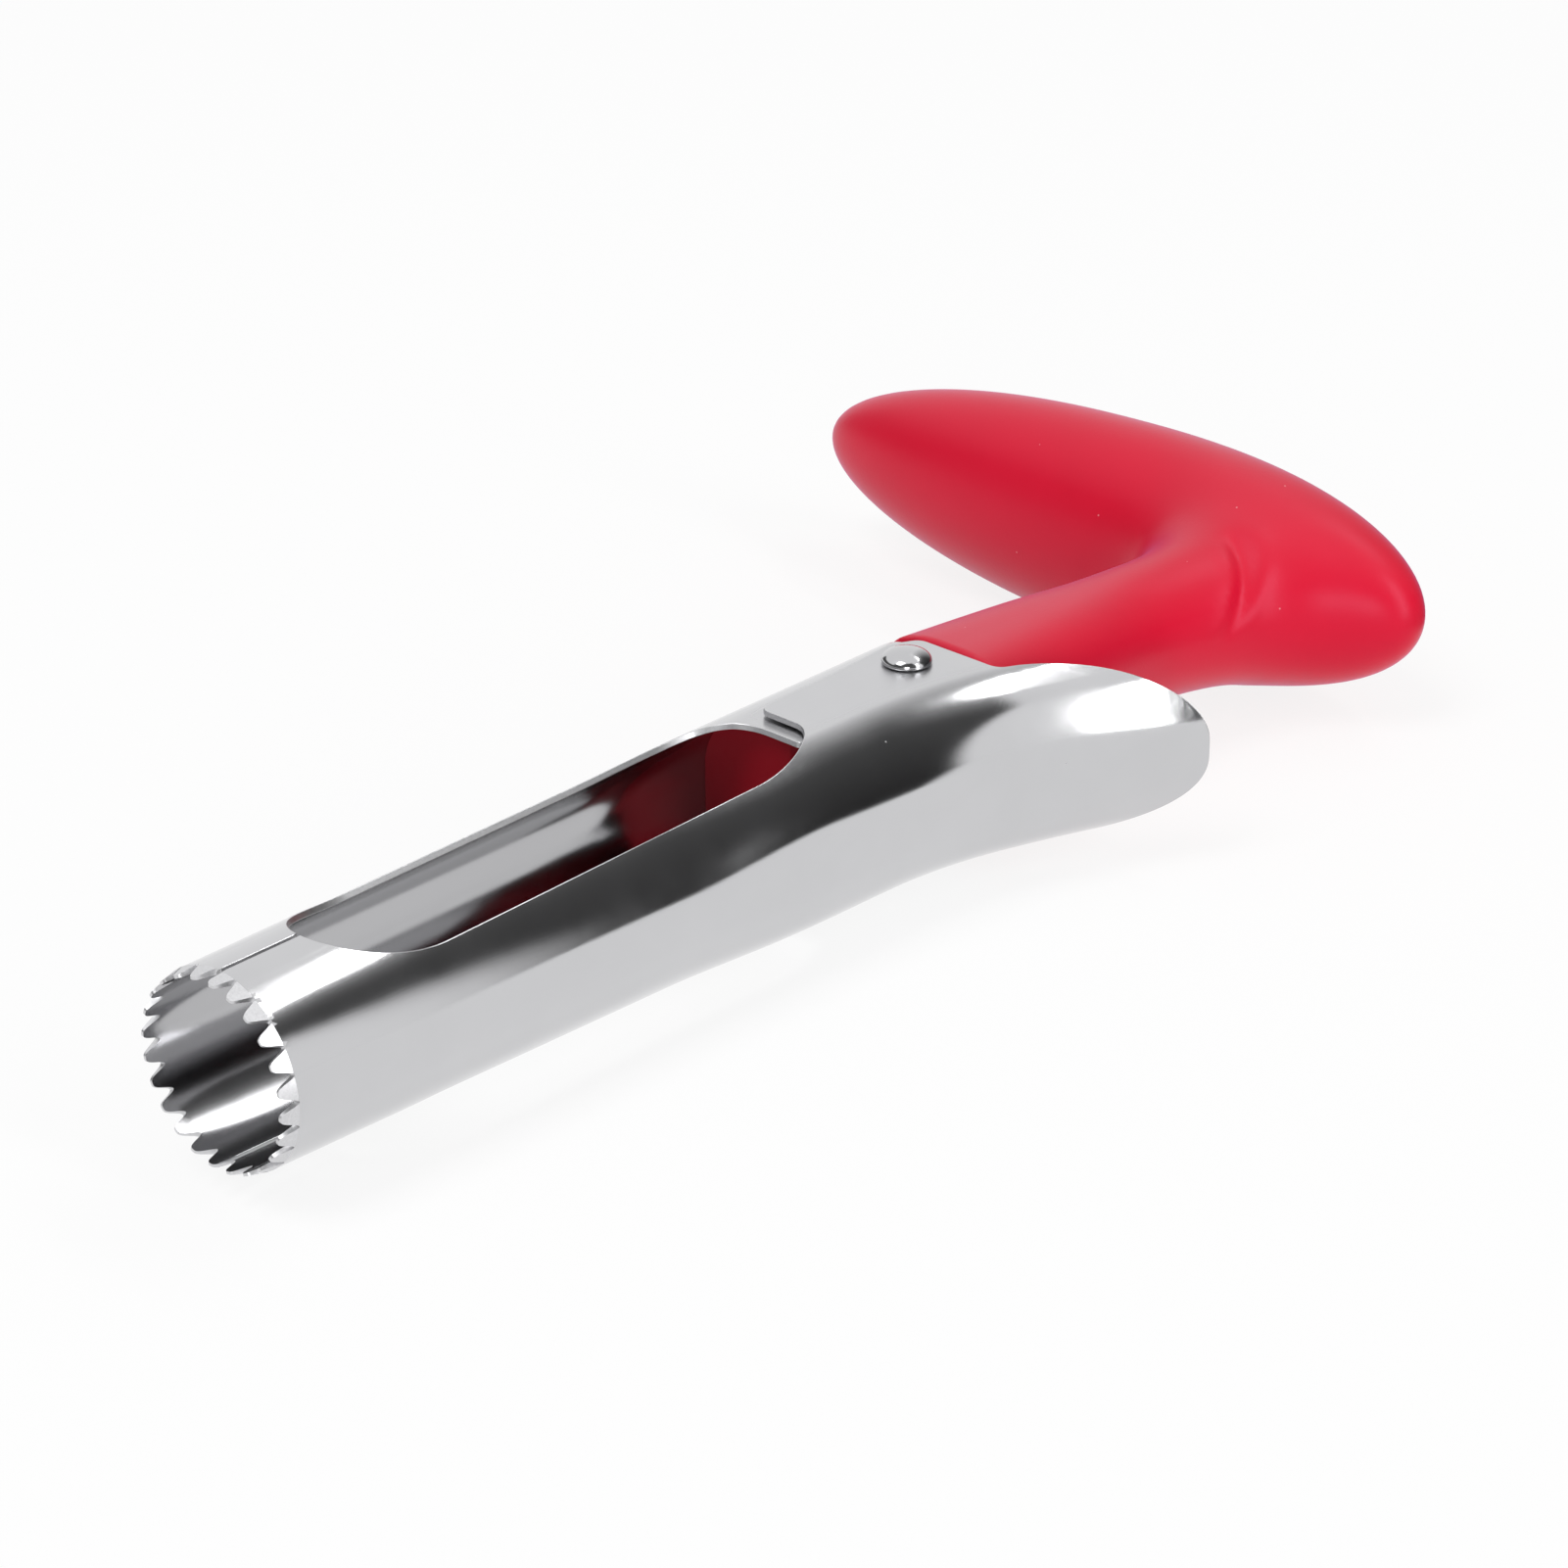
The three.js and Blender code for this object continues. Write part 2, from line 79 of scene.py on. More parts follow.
def new_material(name):
    """A material with its node tree and its shader."""
    made = bpy.data.materials.new(name)
    made.use_nodes = True
    return made, made.node_tree, made.node_tree.nodes["Principled BSDF"]


def show(name, mesh, material):
    """A smooth-shaded object at the origin that carries the mesh."""
    piece = bpy.data.objects.new(name, mesh)
    bpy.context.scene.collection.objects.link(piece)
    mesh.materials.clear()
    mesh.materials.append(material)
    mesh.shade_smooth()
    return piece


def settled(piece):
    """The piece's mesh with its modifiers applied."""
    graph = bpy.context.evaluated_depsgraph_get()
    return bpy.data.meshes.new_from_object(piece.evaluated_get(graph))


# Moulded ABS with a fine spark-eroded skin and a soft broad gloss. Its red is darkened as painted shade,
# since the nose is seen only inside the barrel.
moulded_abs, tree, shader = new_material("moulded_red_abs")
shader.inputs["Roughness"].default_value = 0.46
shader.inputs["IOR"].default_value = 1.3
place = add(tree, "ShaderNodeTexCoord").outputs["Object"]
cloud = add(tree, "ShaderNodeTexNoise", {"Scale": 90, "Detail": 3}, {"Vector": place})  # clouds of 11 mm
skin = add(tree, "ShaderNodeTexNoise", {"Scale": 2500, "Detail": 2}, {"Vector": place})  # grain of 0.4 mm
tint = add(tree, "ShaderNodeMix", links={"Factor": cloud.outputs["Fac"]}, data_type="RGBA")
tint.inputs["A"].default_value = linear("8E0719")
tint.inputs["B"].default_value = linear("9A0A1E")
grain = add(tree, "ShaderNodeBump", {"Strength": 0.15, "Distance": 0.00005}, {"Height": skin.outputs["Fac"]})
tree.links.new(tint.outputs["Result"], shader.inputs["Base Color"])
tree.links.new(grain.outputs["Normal"], shader.inputs["Normal"])

core_mesh = frame["nodes"]["handle_core"].data.copy()
work = bmesh.new()
work.from_mesh(core_mesh)
bmesh.ops.remove_doubles(work, verts=work.verts, dist=1e-6)
bmesh.ops.dissolve_limit(work, angle_limit=math.radians(0.5), verts=work.verts, edges=work.edges)
for corner in work.verts:
    if corner.co.y < nose_rear:
        corner.co.z = tooth_plane.z + (corner.co.z - tooth_plane.z) * nose_rise
        if corner.co.x < tooth_plane.x:
            corner.co.x = tooth_plane.x + (corner.co.x - tooth_plane.x) * nose_spread
work.to_mesh(core_mesh)
work.free()
core = show("core_nose", core_mesh, moulded_abs)
edges = core.modifiers.new("moulded edges", "BEVEL")
edges.width = 0.00008
edges.segments = 3
edges.limit_method = "ANGLE"
edges.angle_limit = math.radians(40)
edges.harden_normals = True
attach(core, "handle")
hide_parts("handle_core")

# Handle grip: soft-touch red elastomer moulded over the core in one shot. The stem is square-shouldered
# behind the ears, narrows to a round waist and flows into the egg-shaped crossbar, which stands off-centre.
stem_places = np.array([121.0, 139.5, 158.0, 171.0, 180.0, 188.9])  # mm from the tooth tips
stem_centres = np.array([-1.95, -2.6, -3.2, -1.8, -1.8, -1.8])
stem_half_widths = np.array([11.15, 10.1, 9.0, 9.8, 12.8, 15.8])
stem_half_heights = np.array([11.3, 10.4, 9.3, 9.9, 10.65, 11.4])
stem_squareness = np.array([3.2, 2.65, 2.1, 2.0, 2.0, 2.0])
grip_front = 121.3
bar_place, bar_centre = 188.9, -30.0
bar_half_length, bar_half_depth, bar_half_height = 52.4, 12.2, 15.4
bar_egg, bar_fullness = 0.142, 2.3
lip_round, stem_end, end_round, fillet_reach = 0.4, 9.0, 4.0, 13.0
groove_place, groove_slant, groove_width, groove_depth, groove_lips = 166.8, 0.8, 1.8, 0.55, 1.3


def between(y, places, values):
    """A smooth curve through the values at their places."""
    slopes = np.gradient(values, places)
    i = np.clip(np.searchsorted(places, y) - 1, 0, len(places) - 2)
    gap = places[i + 1] - places[i]
    u = np.clip((y - places[i]) / gap, 0, 1)
    return (values[i] * (1 + 2 * u) * (1 - u) ** 2 + values[i + 1] * u * u * (3 - 2 * u)
            + gap * (slopes[i] * u * (1 - u) ** 2 - slopes[i + 1] * u * u * (1 - u)))


def ease(value, low, high):
    u = np.clip((value - low) / (high - low), 0, 1)
    return u * u * (3 - 2 * u)


def grip_height(p):
    """Height of points above the grip's surface, in mm, below zero inside."""
    x, y, z = p.T
    centre = between(y, stem_places, stem_centres)
    n = between(y, stem_places, stem_squareness)
    across = np.abs(x - centre) / between(y, stem_places, stem_half_widths)
    upward = np.abs(z) / between(y, stem_places, stem_half_heights)
    oval = np.maximum((across ** n + upward ** n) ** (1 / n), 1e-3)
    stem = np.hypot(x - centre, z) * (1 - 1 / oval)
    front = grip_front - y
    lip = np.maximum(lip_round - np.abs(stem - front), 0)  # rounds the front edge
    stem = np.maximum(stem, front) + lip ** 2 / (4 * lip_round)
    end = y - bar_place + stem_end  # it ends inside the crossbar
    stem = np.maximum(stem, end) + np.maximum(end_round - np.abs(stem - end), 0) ** 2 / (4 * end_round)
    u = (x - bar_centre) / bar_half_length
    s = 1 + bar_egg * u
    ring = ((y - bar_place) / bar_half_depth) ** 2 + (z / bar_half_height) ** 2
    bar = ring / s ** 2 + np.abs(u) ** bar_fullness - 1
    taper = bar_fullness * np.sign(u) * np.abs(u) ** (bar_fullness - 1)
    slope = np.stack([
        (taper - 2 * bar_egg * ring / s ** 3) / bar_half_length,
        2 * (y - bar_place) / (bar_half_depth * s) ** 2,
        2 * z / (bar_half_height * s) ** 2,
    ])
    bar = bar / np.maximum(np.sqrt((slope ** 2).sum(0)), 0.04)
    fillet = np.maximum(fillet_reach - np.abs(stem - bar), 0) / fillet_reach
    body = np.minimum(stem, bar) - fillet_reach * fillet ** 3 / 6
    # a slanting moulding groove with faint raised lips, on the lever's side of the stem only
    off_line = ((y - groove_place - groove_slant * z) / groove_width) ** 2
    fade = ease(x, -1, 3) * ease(z, -1, 6) * (1 - ease(z, 10, 13))
    return body + groove_depth * fade * (1 - groove_lips * off_line) * np.exp(-off_line)


def grip_normal(p):
    step = 0.02
    rises = [grip_height(p + step * axis) - grip_height(p - step * axis) for axis in np.eye(3)]
    return np.stack(rises, 1) / (2 * step)


def lofted(work, rings):
    """Rings of points skinned into a closed tube."""
    rows = [[work.verts.new(p) for p in ring] for ring in rings]
    for near, far in zip(rows, rows[1:]):
        for k in range(len(near)):
            m = (k + 1) % len(near)
            work.faces.new((near[k], near[m], far[m], far[k]))
    work.faces.new(rows[0][::-1])
    work.faces.new(rows[-1])


def in_row(p):
    """Points in mm from the tooth plane as points of the frame, in metres."""
    return np.asarray(p) / 1000 + np.array(tooth_plane)


around = np.linspace(0, 2 * math.pi, 48, endpoint=False)
cosines, sines = np.cos(around), np.sin(around)
stem_rings = []
for y in np.linspace(grip_front, bar_place - 4, 40):
    n = float(between(y, stem_places, stem_squareness))
    wide = np.sign(cosines) * np.abs(cosines) ** (2 / n) * between(y, stem_places, stem_half_widths)
    tall = np.sign(sines) * np.abs(sines) ** (2 / n) * between(y, stem_places, stem_half_heights)
    stem_rings.append(in_row(np.stack([wide + between(y, stem_places, stem_centres), 0 * wide + y, tall], 1)))
bar_rings = []
for u in np.sin(np.linspace(-0.497, 0.497, 60) * math.pi):
    size = math.sqrt(1 - abs(u) ** bar_fullness) * (1 + bar_egg * u)
    x = np.full(len(around), bar_centre + bar_half_length * u)
    deep = bar_place + bar_half_depth * size * cosines
    bar_rings.append(in_row(np.stack([x, deep, bar_half_height * size * sines], 1)))
work = bmesh.new()
lofted(work, stem_rings)
lofted(work, bar_rings)
bmesh.ops.recalc_face_normals(work, faces=work.faces)
rough_mesh = bpy.data.meshes.new("rough grip")
work.to_mesh(rough_mesh)
work.free()
rough = bpy.data.objects.new("rough grip", rough_mesh)
bpy.context.scene.collection.objects.link(rough)
union = rough.modifiers.new("one skin", "REMESH")
union.mode = "VOXEL"
union.voxel_size = 0.0008
grip_mesh = settled(rough)
bpy.data.objects.remove(rough)
points = np.empty(len(grip_mesh.vertices) * 3)
grip_mesh.vertices.foreach_get("co", points)
points = (points.reshape(-1, 3) - np.array(tooth_plane)) * 1000
ends = np.empty(len(grip_mesh.edges) * 2, int)
grip_mesh.edges.foreach_get("vertices", ends)
ends = ends.reshape(-1, 2)
valence = np.bincount(ends.ravel(), minlength=len(points))[:, None]
for turn in range(10):
    if turn < 7:
        total = np.zeros_like(points)
        np.add.at(total, ends[:, 0], points[ends[:, 1]])
        np.add.at(total, ends[:, 1], points[ends[:, 0]])
        points = (points + total / valence) / 2
    normal = grip_normal(points)
    step = grip_height(points)[:, None] * normal / np.maximum((normal ** 2).sum(1), 0.2)[:, None]
    points -= np.clip(step, -0.6, 0.6)
grip_mesh.vertices.foreach_set("co", in_row(points).ravel())
grip_mesh.update()

# Soft-touch elastomer: saturated red with a powdery satin sheen, a fine grain, clinging white dust specks and
# a painted pale highlight on the faces that look up.
soft_touch, tree, shader = new_material("soft_touch_red_elastomer")
shader.inputs["IOR"].default_value = 1.38
shader.inputs["Specular Tint"].default_value = linear("E3DCFF")
shader.inputs["Sheen Weight"].default_value = 0.3
shader.inputs["Sheen Tint"].default_value = linear("E8B4FF")
shader.inputs["Sheen Roughness"].default_value = 0.3
coords = add(tree, "ShaderNodeTexCoord")
place = coords.outputs["Object"]
cloud = add(tree, "ShaderNodeTexNoise", {"Scale": 60, "Detail": 4}, {"Vector": place})  # clouds of 17 mm
skin = add(tree, "ShaderNodeTexNoise", {"Scale": 2200, "Detail": 2}, {"Vector": place})  # grain of 0.45 mm
tint = add(tree, "ShaderNodeMix", links={"Factor": cloud.outputs["Fac"]}, data_type="RGBA")
tint.inputs["A"].default_value = linear("CA0426")
tint.inputs["B"].default_value = linear("D6082E")
cells = add(tree, "ShaderNodeTexVoronoi", {"Scale": 420}, {"Vector": place})  # at most a grain per 2.4 mm
near = add(tree, "ShaderNodeMath", {1: 0.06}, {0: cells.outputs["Distance"]}, operation="LESS_THAN")
few = add(tree, "ShaderNodeSeparateColor", links={"Color": cells.outputs["Color"]})
kept = add(tree, "ShaderNodeMath", {1: 0.8}, {0: few.outputs["Red"]}, operation="GREATER_THAN")
dust = add(tree, "ShaderNodeMath", links={0: near.outputs[0], 1: kept.outputs[0]}, operation="MULTIPLY")
facing = add(tree, "ShaderNodeSeparateXYZ", links={"Vector": coords.outputs["Normal"]})
painted_top_highlight = add(tree, "ShaderNodeMapRange", {"From Min": 0.45, "From Max": 1, "To Max": 0.035},
            {"Value": facing.outputs["Z"]})  # a painted pale highlight on the faces that look up, where the light from above falls
dust_and_top_highlight = add(tree, "ShaderNodeMath", {1: 0.4}, {0: dust.outputs[0], 2: painted_top_highlight.outputs["Result"]},
            operation="MULTIPLY_ADD")
# the dust specks and the painted top highlight both lighten the red towards the same pale pink
dust_and_highlight_tint = add(tree, "ShaderNodeMix", links={"Factor": dust_and_top_highlight.outputs[0], "A": tint.outputs["Result"]},
            data_type="RGBA")
dust_and_highlight_tint.inputs["B"].default_value = linear("F0B9C0")
gloss = add(tree, "ShaderNodeMapRange", {"To Min": 0.34, "To Max": 0.42}, {"Value": cloud.outputs["Fac"]})
grain = add(tree, "ShaderNodeBump", {"Strength": 0.2, "Distance": 0.00006}, {"Height": skin.outputs["Fac"]})
tree.links.new(dust_and_highlight_tint.outputs["Result"], shader.inputs["Base Color"])
tree.links.new(gloss.outputs["Result"], shader.inputs["Roughness"])
tree.links.new(grain.outputs["Normal"], shader.inputs["Normal"])

grip = show("grip_skin", grip_mesh, soft_touch)
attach(grip, "handle")
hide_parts("handle_grip")

# Return spring: hard-drawn steel wire wound into a torsion coil round the rivet, inside the core's slot.
# One leg is held in the core, and the other presses on the jaw's wall so that the barrel closes by itself.
wire_radius, coil_radius, coil_pitch = 0.4, 3.0, 1.35
held_leg, press_angle = 6.0, math.radians(35)
press_end = (15.19, 118.98)
start_turn, end_turn = math.pi, 7.5 * math.pi + press_angle
rise = coil_pitch * (end_turn - start_turn) / (2 * math.pi)
path = [(-coil_radius, hinge_place + held_leg, -rise / 2)]
for u in np.linspace(0, 1, 80):
    turn = start_turn + (end_turn - start_turn) * u
    path.append((coil_radius * math.cos(turn), hinge_place + coil_radius * math.sin(turn), rise * (u - 0.5)))
path.append((*press_end, rise / 2))

# Drawn wire: grey steel with a slightly streaky lustre.
drawn_wire, tree, shader = new_material("hard_drawn_steel_wire")
shader.inputs["Metallic"].default_value = 1
place = add(tree, "ShaderNodeTexCoord").outputs["Object"]
streaks = add(tree, "ShaderNodeTexNoise", {"Scale": 1500, "Detail": 2}, {"Vector": place})  # 0.7 mm streaks
tint = add(tree, "ShaderNodeMix", links={"Factor": streaks.outputs["Fac"]}, data_type="RGBA")
tint.inputs["A"].default_value = linear("A9AAAD")
tint.inputs["B"].default_value = linear("C2C3C6")
gloss = add(tree, "ShaderNodeMapRange", {"To Min": 0.22, "To Max": 0.36}, {"Value": streaks.outputs["Fac"]})
tree.links.new(tint.outputs["Result"], shader.inputs["Base Color"])
tree.links.new(gloss.outputs["Result"], shader.inputs["Roughness"])

sweep = bpy.data.node_groups.new("wire sweep", "GeometryNodeTree")
sweep.interface.new_socket("Path", in_out="INPUT", socket_type="NodeSocketGeometry")
wire_socket = sweep.interface.new_socket("Wire radius", in_out="INPUT", socket_type="NodeSocketFloat")
sweep.interface.new_socket("Wire", in_out="OUTPUT", socket_type="NodeSocketGeometry")
given = add(sweep, "NodeGroupInput")
line = add(sweep, "GeometryNodeMeshToCurve", links={"Mesh": given.outputs["Path"]})
ring = add(sweep, "GeometryNodeCurvePrimitiveCircle", {"Resolution": 12},
           {"Radius": given.outputs["Wire radius"]})
tube = add(sweep, "GeometryNodeCurveToMesh", {"Fill Caps": True},
           {"Curve": line.outputs["Curve"], "Profile Curve": ring.outputs["Curve"]})
real = add(sweep, "GeometryNodeRealizeInstances", links={"Geometry": tube.outputs["Mesh"]})
coat = add(sweep, "GeometryNodeSetMaterial", {"Material": drawn_wire}, {"Geometry": real.outputs["Geometry"]})
add(sweep, "NodeGroupOutput", links={"Wire": coat.outputs["Geometry"]})
path_mesh = bpy.data.meshes.new("wire path")
path_mesh.from_pydata([tuple(p) for p in in_row(path)], [(i, i + 1) for i in range(len(path) - 1)], [])
path_piece = bpy.data.objects.new("wire path", path_mesh)
bpy.context.scene.collection.objects.link(path_piece)
swept = path_piece.modifiers.new("sweep", "NODES")
swept.node_group = sweep
swept[wire_socket.identifier] = wire_radius / 1000
spring_mesh = settled(path_piece)
bpy.data.objects.remove(path_piece)
spring = show("spring_wire", spring_mesh, drawn_wire)
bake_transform(spring)
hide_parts("return_spring")

# Fixed half shell: 0.8 mm stainless sheet, pressed into the half of the barrel away from the lever and
# mirror polished. Its ears clasp the core, and its front edge is ground and scalloped into teeth.
sheet, tip_edge, seam_gap = 0.8, 0.35, 0.5
bevel_length, tooth_depth, tooth_pitch, tooth_offset, gullet_narrowing = 2.2, 2.3, 15.0, -2.7, 1.8
window_half_width, window_round, window_start, window_end = 8.4, 14.0, 27.3, 77.0
press_start, press_end_place, ear_flank = 61.5, 86.5, 2.4
jaw_face, fixed_face, ear_rear = 12.605, 11.505, 118.5
flare_start, flare_bend, flare_slope, tail_bend = 98.6, 27.3, 0.419, 104.0
lever_flank, lever_round_run = 1.05, 20.0
quarter = 20.0  # about a quarter of the way round the barrel, in mm
grid_step, row_step, inset_step, teeth_zone = 0.75, 0.65, 0.45, 4.0  # spacing of the mesh's points, in mm


def section(y, face, flared):
    """Half width, half height and corner radius of the barrel's outside at a place along it."""
    round_radius = 12 + 0.016 * y
    press = ease(y, press_start, press_end_place)
    run = np.maximum(y - flare_start, 0)
    curved = np.minimum(run, flare_bend)
    tail = run - curved
    flare = flare_slope * (curved ** 2 / (2 * flare_bend) + tail) + tail ** 2 / (2 * tail_bend)
    swell = flared * ease(y, ear_rear, ear_rear + lever_round_run)
    flank = ear_flank + (lever_flank - ear_flank) * swell
    half_height = round_radius + (face - round_radius) * press
    corner = round_radius + (face - flank - round_radius) * press
    return round_radius + flared * flare, half_height, corner


def share(x, y, face, flared):
    """How far round the section a point on the upper half lies: 0 at the top, 1 at the side."""
    half_width, half_height, corner = section(y, face, flared)
    flat = half_width - corner
    bend = corner * np.arcsin(np.clip((np.abs(x) - flat) / corner, 0, 1))
    whole = flat + corner * math.pi / 2 + half_height - corner
    return np.sign(x) * np.where(np.abs(x) < flat, np.abs(x), flat + bend) / whole


def pressed(t, y, depth, side, face, flared):
    """Points of the sheet at a share round the section and a depth below its outside."""
    half_width, half_height, corner = section(y, face, flared)
    flat = half_width - corner
    whole = flat + corner * math.pi / 2 + half_height - corner
    below = t > 1
    a = np.where(below, 2 - t, t)
    length = np.abs(a) * whole
    angle = np.clip((length - flat) / corner, 0, math.pi / 2)
    drop = np.maximum(length - flat - corner * math.pi / 2, 0)
    x = np.minimum(length, flat) + (corner - depth) * np.sin(angle)
    z = half_height - corner - drop + (corner - depth) * np.cos(angle)
    return np.stack([side * np.sign(a) * x, y, np.where(below, -z, z)], 1)


def tooth_edge(t, side):
    angle = 90 * t * side
    wave = (1 + np.cos(2 * math.pi * (angle - tooth_offset) / tooth_pitch)) / 2
    return tooth_depth * wave ** gullet_narrowing


def softened(corners):
    """A plan outline of (x, y, radius) corners with each corner rounded off."""
    path = []
    for i, (x, y, radius) in enumerate(corners):
        here = np.array([x, y])
        if radius == 0:
            path.append(here)
            continue
        before = np.array(corners[i - 1][:2]) - here
        after = np.array(corners[i + 1][:2]) - here
        low = here + before * min(radius / np.linalg.norm(before), 0.5)
        high = here + after * min(radius / np.linalg.norm(after), 0.5)
        for u in np.linspace(0, 1, 9):
            path.append(low * (1 - u) ** 2 + 2 * here * u * (1 - u) + high * u * u)
    return np.array(path)


def divided(path, spacing):
    """The path with points added so that none lie further apart than the spacing."""
    fine = [path[0]]
    for near, far in zip(path, path[1:]):
        count = max(1, math.ceil(np.linalg.norm(far - near) / spacing))
        fine += [near + (far - near) * k / count for k in range(1, count + 1)]
    return np.array(fine)


def window_rim(ear_front, corner):
    """Plan points of the window's edge from the seam to the ear's front, with the corner there rounded."""
    first = math.acos(seam_gap / 2 / window_half_width)
    last = math.asin((ear_front - window_end) / window_round)
    rim = [(window_half_width * math.cos(a), window_start + window_round * math.sin(a))
           for a in np.linspace(-first, 0, 30)]
    rim += [(window_half_width * math.cos(a), window_end + window_round * math.sin(a))
            for a in np.linspace(0, last, 24)]
    rim = np.array(rim)
    point = rim[-1]
    kept = rim[np.hypot(*(rim - point).T) > corner]
    u = np.linspace(0, 1, 14)[1:, None]
    bend = kept[-1] * (1 - u) ** 2 + 2 * point * u * (1 - u) + (point - (corner, 0)) * u * u
    return [(x, y, 0) for x, y in np.concatenate([kept, bend])]


def half_shell(name, side, face, flared, upper):
    """One pressing as a closed mesh. upper is the edge of its upper half from the seam to the side's middle
    line, as shares round the section and places along it; the lower edge is its mirror image."""
    seam = upper[0, 0]
    turns = np.linspace(seam, 2 - seam, 385)
    teeth = np.stack([turns * quarter, tooth_edge(turns, side)], 1)
    upper = divided(upper * (quarter, 1), 0.5)
    lower = upper * (-1, 1) + (2 * quarter, 0)
    loop = np.concatenate([teeth, lower, upper[-2::-1]])
    line = np.arange(upper[0, 0] + 0.3, lower[0, 0] - 0.2, 0.3)
    line = np.stack([line, np.full(len(line), bevel_length)], 1)
    line = line[tooth_edge(line[:, 0] / quarter, side) < bevel_length - 0.2]
    rows = np.concatenate([[0.8, 1.5], np.arange(2.9, loop[:, 1].max(), row_step)])
    grid = np.stack(np.meshgrid(np.arange(-8, 2 * quarter + 8, grid_step), rows), -1)
    grid[1::2, :, 0] += grid_step / 2  # staggered rows give every point six even neighbours
    grid = grid.reshape(-1, 2)
    apart = np.min([np.hypot(*(grid - p).T) for p in loop], axis=0)
    near_teeth = grid[:, 1] < teeth_zone
    grid = grid[apart > np.where(near_teeth, 0.4, 0.85)]
    ahead = np.roll(loop, -1, axis=0) - np.roll(loop, 1, axis=0)
    inset = loop + inset_step * ahead[:, ::-1] * (-1, 1) / np.linalg.norm(ahead, axis=1)[:, None]
    inset = inset[inset[:, 1] > teeth_zone]  # an even row of points beside the cut edge
    apart = np.min([np.hypot(*(inset - p).T) for p in loop], axis=0)
    inset = inset[apart > 0.42]
    inputs = np.concatenate([loop, line, grid, inset])
    ties = [(i, (i + 1) % len(loop)) for i in range(len(loop))]
    cut = geometry.delaunay_2d_cdt([Vector(p) for p in inputs], ties, [], 1, 1e-5)
    flat = np.array([tuple(v) for v in cut[0]])
    faces = np.array(cut[2])
    on_teeth = np.array([any(k < len(teeth) for k in source) for source in cut[3]])
    a, b, c = flat[faces].transpose(1, 0, 2)
    turned = ((b - a) * (c - a)[:, ::-1] * (1, -1)).sum(1) * side < 0
    faces[turned] = faces[turned][:, ::-1]
    count = len(flat)
    t, y = flat[:, 0] / quarter, flat[:, 1]
    ground = (sheet - tip_edge) * np.maximum(1 - y / bevel_length, 0)
    outer = pressed(t, y, ground, side, face, flared)
    inner = pressed(t, y, sheet, side, face, flared)
    directed = {(f[k], f[(k + 1) % 3]) for f in faces.tolist() for k in range(3)}
    border = [(p, q) for p, q in directed if (q, p) not in directed]
    mesh = bpy.data.meshes.new(name)
    walls = [(q, p, p + count, q + count) for p, q in border]
    skins = faces.tolist() + (faces[:, ::-1] + count).tolist()
    mesh.from_pydata(in_row(np.concatenate([outer, inner])), [], skins + walls)
    on_bevel = (y[faces] < bevel_length + 1e-4).all(1)
    # 0 is polished, 1 is ground and 2 is the inside
    finish = np.concatenate([on_bevel, np.full(len(faces), 2), np.ones(len(border))])
    mesh.attributes.new("finish", "INT", "FACE").data.foreach_set("value", finish.astype(np.int32))
    rounded = np.zeros(len(mesh.edges))
    crisp = np.zeros(len(mesh.edges), bool)
    edge_set = {frozenset(e) for e in border}
    for k, edge in enumerate(mesh.edges):
        p, q = edge.vertices
        if frozenset((p % count, q % count)) in edge_set and p // count == q // count:
            crisp[k] = on_teeth[p % count] and on_teeth[q % count]
            rounded[k] = not crisp[k]
        elif max(p, q) < count and abs(y[p] - bevel_length) < 1e-4 and abs(y[q] - bevel_length) < 1e-4:
            crisp[k] = True
    mesh.attributes.new("bevel_weight_edge", "FLOAT", "EDGE").data.foreach_set("value", rounded)
    mesh.attributes.new("sharp_edge", "BOOLEAN", "EDGE").data.foreach_set("value", crisp)
    return mesh


def deburred(piece):
    """Rounds the sheet's cut edges, as tumbling does, and gives each face its finish."""
    finish = np.empty(len(piece.data.polygons), np.int32)
    piece.data.attributes["finish"].data.foreach_get("value", finish)
    piece.data.materials.append(ground_steel)
    piece.data.materials.append(rolled_steel)
    piece.data.polygons.foreach_set("material_index", finish)
    edges = piece.modifiers.new("tumbled edges", "BEVEL")
    edges.width = 0.00012
    edges.segments = 2
    edges.limit_method = "WEIGHT"
    edges.use_clamp_overlap = False
    edges.harden_normals = True


# Mirror-polished stainless steel: bright and almost clear reflections, softened by polishing haze, faint
# waves of the pressed sheet, fine scratches along the barrel and a few specks of dust. The flat ears keep
# a satin finish.
stainless, tree, shader = new_material("mirror_polished_stainless_steel")
shader.inputs["Metallic"].default_value = 1
place = add(tree, "ShaderNodeTexCoord").outputs["Object"]
haze = add(tree, "ShaderNodeTexNoise", {"Scale": 110, "Detail": 5}, {"Vector": place})  # patches of 9 mm
along = add(tree, "ShaderNodeMapping", {"Scale": (9000, 250, 9000)}, {"Vector": place})  # 0.1 by 4 mm
scratch = add(tree, "ShaderNodeTexNoise", {"Scale": 1, "Detail": 2}, {"Vector": along.outputs["Vector"]})
cells = add(tree, "ShaderNodeTexVoronoi", {"Scale": 260}, {"Vector": place})  # a speck per 4 mm at most
near = add(tree, "ShaderNodeMath", {1: 0.03}, {0: cells.outputs["Distance"]}, operation="LESS_THAN")
few = add(tree, "ShaderNodeSeparateColor", links={"Color": cells.outputs["Color"]})
kept = add(tree, "ShaderNodeMath", {1: 0.8}, {0: few.outputs["Red"]}, operation="GREATER_THAN")
speck = add(tree, "ShaderNodeMath", links={0: near.outputs[0], 1: kept.outputs[0]}, operation="MULTIPLY")
tint = add(tree, "ShaderNodeMix", links={"Factor": haze.outputs["Fac"]}, data_type="RGBA")
tint.inputs["A"].default_value = linear("C6C6C8")
tint.inputs["B"].default_value = linear("CDCDCF")
